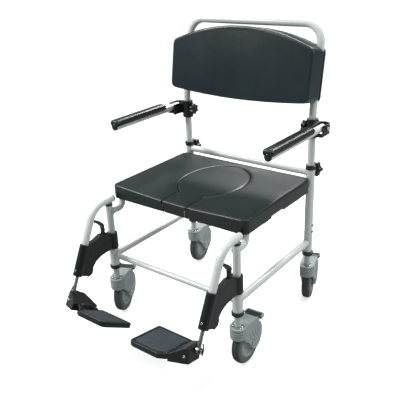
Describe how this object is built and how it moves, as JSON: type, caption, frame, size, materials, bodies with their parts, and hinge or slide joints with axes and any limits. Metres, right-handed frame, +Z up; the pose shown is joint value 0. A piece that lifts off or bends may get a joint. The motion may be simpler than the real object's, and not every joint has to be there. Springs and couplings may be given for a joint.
{
  "type": "commode chair",
  "caption": "Wheeled shower commode chair with keyhole seat and plug, slide-out pan, swing-away legrests, flip-up arms and a moulded backrest on a push bar.",
  "frame": {"origin": "on the floor, at the centre of the chair's overall footprint, tyres touching z = 0", "axes": "+Z up, the sitter faces -Y, the sitter's left is +X"},
  "size_m": [0.6815, 0.8668, 1.0375],
  "materials": {
    "white_paint": "gloss",
    "black_plastic": "satin",
    "seat_foam": "semi-gloss",
    "grey_plastic": "satin",
    "hub_grey": "satin",
    "tyre_rubber": "matt",
    "steel": "brushed",
    "inlay_rubber": "ribbed",
    "pan_plastic": "gloss"
  },
  "bodies": {
    "frame": {"main_frame": "white_paint", "leg_collars": "black_plastic", "post_bushes": "black_plastic"},
    "leg_front_left": {"leg_tube_front_left": "steel"},
    "caster_front_left": {"caster_fork_front_left": "grey_plastic", "caster_axle_front_left": "steel"},
    "wheel_front_left": {"wheel_hub_front_left": "hub_grey", "tyre_front_left": "tyre_rubber"},
    "brake_front_left": {"brake_pedal_front_left": "black_plastic"},
    "leg_front_right": {"leg_tube_front_right": "steel"},
    "caster_front_right": {"caster_fork_front_right": "grey_plastic", "caster_axle_front_right": "steel"},
    "wheel_front_right": {"wheel_hub_front_right": "hub_grey", "tyre_front_right": "tyre_rubber"},
    "brake_front_right": {"brake_pedal_front_right": "black_plastic"},
    "leg_rear_left": {"leg_tube_rear_left": "steel"},
    "caster_rear_left": {"caster_fork_rear_left": "grey_plastic", "caster_axle_rear_left": "steel"},
    "wheel_rear_left": {"wheel_hub_rear_left": "hub_grey", "tyre_rear_left": "tyre_rubber"},
    "brake_rear_left": {"brake_pedal_rear_left": "black_plastic"},
    "leg_rear_right": {"leg_tube_rear_right": "steel"},
    "caster_rear_right": {"caster_fork_rear_right": "grey_plastic", "caster_axle_rear_right": "steel"},
    "wheel_rear_right": {"wheel_hub_rear_right": "hub_grey", "tyre_rear_right": "tyre_rubber"},
    "brake_rear_right": {"brake_pedal_rear_right": "black_plastic"},
    "backrest": {"push_bar": "white_paint", "backrest_panel": "seat_foam", "backrest_cover": "seat_foam"},
    "seat": {"seat": "seat_foam", "seat_clips": "black_plastic", "pan_guides": "black_plastic"},
    "plug": {"seat_plug": "seat_foam"},
    "pan": {"commode_pan": "pan_plastic"},
    "backrest_knob_left": {"backrest_knob_left": "black_plastic"},
    "arm_clamp_left": {"arm_clamp_left": "black_plastic"},
    "arm_knob_left": {"arm_knob_left": "black_plastic"},
    "arm_left": {"arm_tube_left": "white_paint", "arm_pad_left": "black_plastic"},
    "hanger_left": {"hanger_tube_left": "white_paint", "hanger_bracket_left": "black_plastic"},
    "lever_left": {"release_lever_left": "black_plastic"},
    "rod_left": {"foot_rod_left": "steel"},
    "lug_left": {"foot_lug_left": "black_plastic"},
    "footplate_left": {"footplate_left": "black_plastic", "footplate_pad_left": "inlay_rubber"},
    "backrest_knob_right": {"backrest_knob_right": "black_plastic"},
    "arm_clamp_right": {"arm_clamp_right": "black_plastic"},
    "arm_knob_right": {"arm_knob_right": "black_plastic"},
    "arm_right": {"arm_tube_right": "white_paint", "arm_pad_right": "black_plastic"},
    "hanger_right": {"hanger_tube_right": "white_paint", "hanger_bracket_right": "black_plastic"},
    "lever_right": {"release_lever_right": "black_plastic"},
    "rod_right": {"foot_rod_right": "steel"},
    "lug_right": {"foot_lug_right": "black_plastic"},
    "footplate_right": {"footplate_right": "black_plastic", "footplate_pad_right": "inlay_rubber"}
  },
  "joints": [
    {"name": "leg_height_front_left", "type": "slide", "parent": "frame", "child": "leg_front_left", "axis": [0, 0, -1], "range_m": [-0.025, 0.075]},
    {"name": "caster_swivel_front_left", "type": "hinge", "parent": "leg_front_left", "child": "caster_front_left", "pos_m": [0.268, -0.155, 0.164], "axis": [0, 0, 1], "continuous": true},
    {"name": "wheel_spin_front_left", "type": "hinge", "parent": "caster_front_left", "child": "wheel_front_left", "pos_m": [0.26446, -0.10432, 0.075], "axis": [0.9976, 0.0698, 0], "continuous": true},
    {"name": "brake_pedal_press_front_left", "type": "hinge", "parent": "caster_front_left", "child": "brake_front_left", "pos_m": [0.26172, -0.06522, 0.144], "axis": [-0.9976, -0.0698, 0], "range_deg": [0, 8]},
    {"name": "leg_height_front_right", "type": "slide", "parent": "frame", "child": "leg_front_right", "axis": [0, 0, -1], "range_m": [-0.025, 0.075]},
    {"name": "caster_swivel_front_right", "type": "hinge", "parent": "leg_front_right", "child": "caster_front_right", "pos_m": [-0.268, -0.155, 0.164], "axis": [0, 0, 1], "continuous": true},
    {"name": "wheel_spin_front_right", "type": "hinge", "parent": "caster_front_right", "child": "wheel_front_right", "pos_m": [-0.28866, -0.10859, 0.075], "axis": [0.9135, 0.4067, 0], "continuous": true},
    {"name": "brake_pedal_press_front_right", "type": "hinge", "parent": "caster_front_right", "child": "brake_front_right", "pos_m": [-0.30461, -0.07278, 0.144], "axis": [-0.9135, -0.4067, 0], "range_deg": [0, 8]},
    {"name": "leg_height_rear_left", "type": "slide", "parent": "frame", "child": "leg_rear_left", "axis": [0, 0, -1], "range_m": [-0.025, 0.075]},
    {"name": "caster_swivel_rear_left", "type": "hinge", "parent": "leg_rear_left", "child": "caster_rear_left", "pos_m": [0.268, 0.309, 0.164], "axis": [0, 0, 1], "continuous": true},
    {"name": "wheel_spin_rear_left", "type": "hinge", "parent": "caster_rear_left", "child": "wheel_rear_left", "pos_m": [0.2523, 0.35731, 0.075], "axis": [0.9511, 0.309, 0], "continuous": true},
    {"name": "brake_pedal_press_rear_left", "type": "hinge", "parent": "caster_rear_left", "child": "brake_rear_left", "pos_m": [0.24019, 0.39459, 0.144], "axis": [-0.9511, -0.309, 0], "range_deg": [0, 8]},
    {"name": "leg_height_rear_right", "type": "slide", "parent": "frame", "child": "leg_rear_right", "axis": [0, 0, -1], "range_m": [-0.025, 0.075]},
    {"name": "caster_swivel_rear_right", "type": "hinge", "parent": "leg_rear_right", "child": "caster_rear_right", "pos_m": [-0.268, 0.309, 0.164], "axis": [0, 0, 1], "continuous": true},
    {"name": "wheel_spin_rear_right", "type": "hinge", "parent": "caster_rear_right", "child": "wheel_rear_right", "pos_m": [-0.27769, 0.35887, 0.075], "axis": [0.9816, 0.1908, 0], "continuous": true},
    {"name": "brake_pedal_press_rear_right", "type": "hinge", "parent": "caster_rear_right", "child": "brake_rear_right", "pos_m": [-0.28517, 0.39735, 0.144], "axis": [-0.9816, -0.1908, 0], "range_deg": [0, 8]},
    {"name": "backrest_lift", "type": "slide", "parent": "frame", "child": "backrest", "axis": [0, 0, 1], "range_m": [0, 0.12]},
    {"name": "seat_lift", "type": "slide", "parent": "frame", "child": "seat", "axis": [0, 0, 1], "range_m": [0, 0.08]},
    {"name": "plug_lift", "type": "slide", "parent": "seat", "child": "plug", "axis": [0, 0, 1], "range_m": [0, 0.06]},
    {"name": "pan_slide", "type": "slide", "parent": "seat", "child": "pan", "axis": [0, 1, 0], "range_m": [0, 0.32]},
    {"name": "backrest_knob_turn_left", "type": "hinge", "parent": "frame", "child": "backrest_knob_left", "pos_m": [0.268, 0.332, 0.535], "axis": [0, 1, 0], "continuous": true},
    {"name": "arm_height_left", "type": "slide", "parent": "backrest", "child": "arm_clamp_left", "axis": [0, 0, 1], "range_m": [-0.06, 0.01]},
    {"name": "arm_knob_turn_left", "type": "hinge", "parent": "arm_clamp_left", "child": "arm_knob_left", "pos_m": [0.248, 0.309, 0.695], "axis": [-1, 0, 0], "continuous": true},
    {"name": "arm_flip_left", "type": "hinge", "parent": "arm_clamp_left", "child": "arm_left", "pos_m": [0.31, 0.289, 0.703], "axis": [-1, 0, 0], "range_deg": [0, 100]},
    {"name": "hanger_swing_left", "type": "hinge", "parent": "frame", "child": "hanger_left", "pos_m": [0.268, -0.155, 0.475], "axis": [0, 0, 1], "range_deg": [0, 100]},
    {"name": "lever_pull_left", "type": "hinge", "parent": "hanger_left", "child": "lever_left", "pos_m": [0.268, -0.199, 0.357], "axis": [1, 0, 0], "range_deg": [0, 8]},
    {"name": "foot_rod_slide_left", "type": "slide", "parent": "hanger_left", "child": "rod_left", "axis": [0, -0.4439, -0.8961], "range_m": [-0.012, 0.045]},
    {"name": "footplate_angle_left", "type": "hinge", "parent": "rod_left", "child": "lug_left", "pos_m": [0.268, -0.35957, 0.20242], "axis": [1, 0, 0], "range_deg": [-24.3, 11.7]},
    {"name": "footplate_flip_left", "type": "hinge", "parent": "lug_left", "child": "footplate_left", "pos_m": [0.196, -0.36403, 0.18088], "axis": [0, 0.9792, -0.2028], "range_deg": [0, 90]},
    {"name": "backrest_knob_turn_right", "type": "hinge", "parent": "frame", "child": "backrest_knob_right", "pos_m": [-0.268, 0.332, 0.535], "axis": [0, 1, 0], "continuous": true},
    {"name": "arm_height_right", "type": "slide", "parent": "backrest", "child": "arm_clamp_right", "axis": [0, 0, 1], "range_m": [-0.06, 0.01]},
    {"name": "arm_knob_turn_right", "type": "hinge", "parent": "arm_clamp_right", "child": "arm_knob_right", "pos_m": [-0.248, 0.309, 0.695], "axis": [1, 0, 0], "continuous": true},
    {"name": "arm_flip_right", "type": "hinge", "parent": "arm_clamp_right", "child": "arm_right", "pos_m": [-0.31, 0.289, 0.703], "axis": [-1, 0, 0], "range_deg": [0, 100]},
    {"name": "hanger_swing_right", "type": "hinge", "parent": "frame", "child": "hanger_right", "pos_m": [-0.268, -0.155, 0.475], "axis": [0, 0, -1], "range_deg": [0, 100]},
    {"name": "lever_pull_right", "type": "hinge", "parent": "hanger_right", "child": "lever_right", "pos_m": [-0.268, -0.199, 0.357], "axis": [1, 0, 0], "range_deg": [0, 8]},
    {"name": "foot_rod_slide_right", "type": "slide", "parent": "hanger_right", "child": "rod_right", "axis": [0, -0.4439, -0.8961], "range_m": [-0.012, 0.045]},
    {"name": "footplate_angle_right", "type": "hinge", "parent": "rod_right", "child": "lug_right", "pos_m": [-0.268, -0.35957, 0.20242], "axis": [1, 0, 0], "range_deg": [-3.7, 32.3]},
    {"name": "footplate_flip_right", "type": "hinge", "parent": "lug_right", "child": "footplate_right", "pos_m": [-0.196, -0.37132, 0.18383], "axis": [0, -0.8453, 0.5344], "range_deg": [0, 90]}
  ]
}
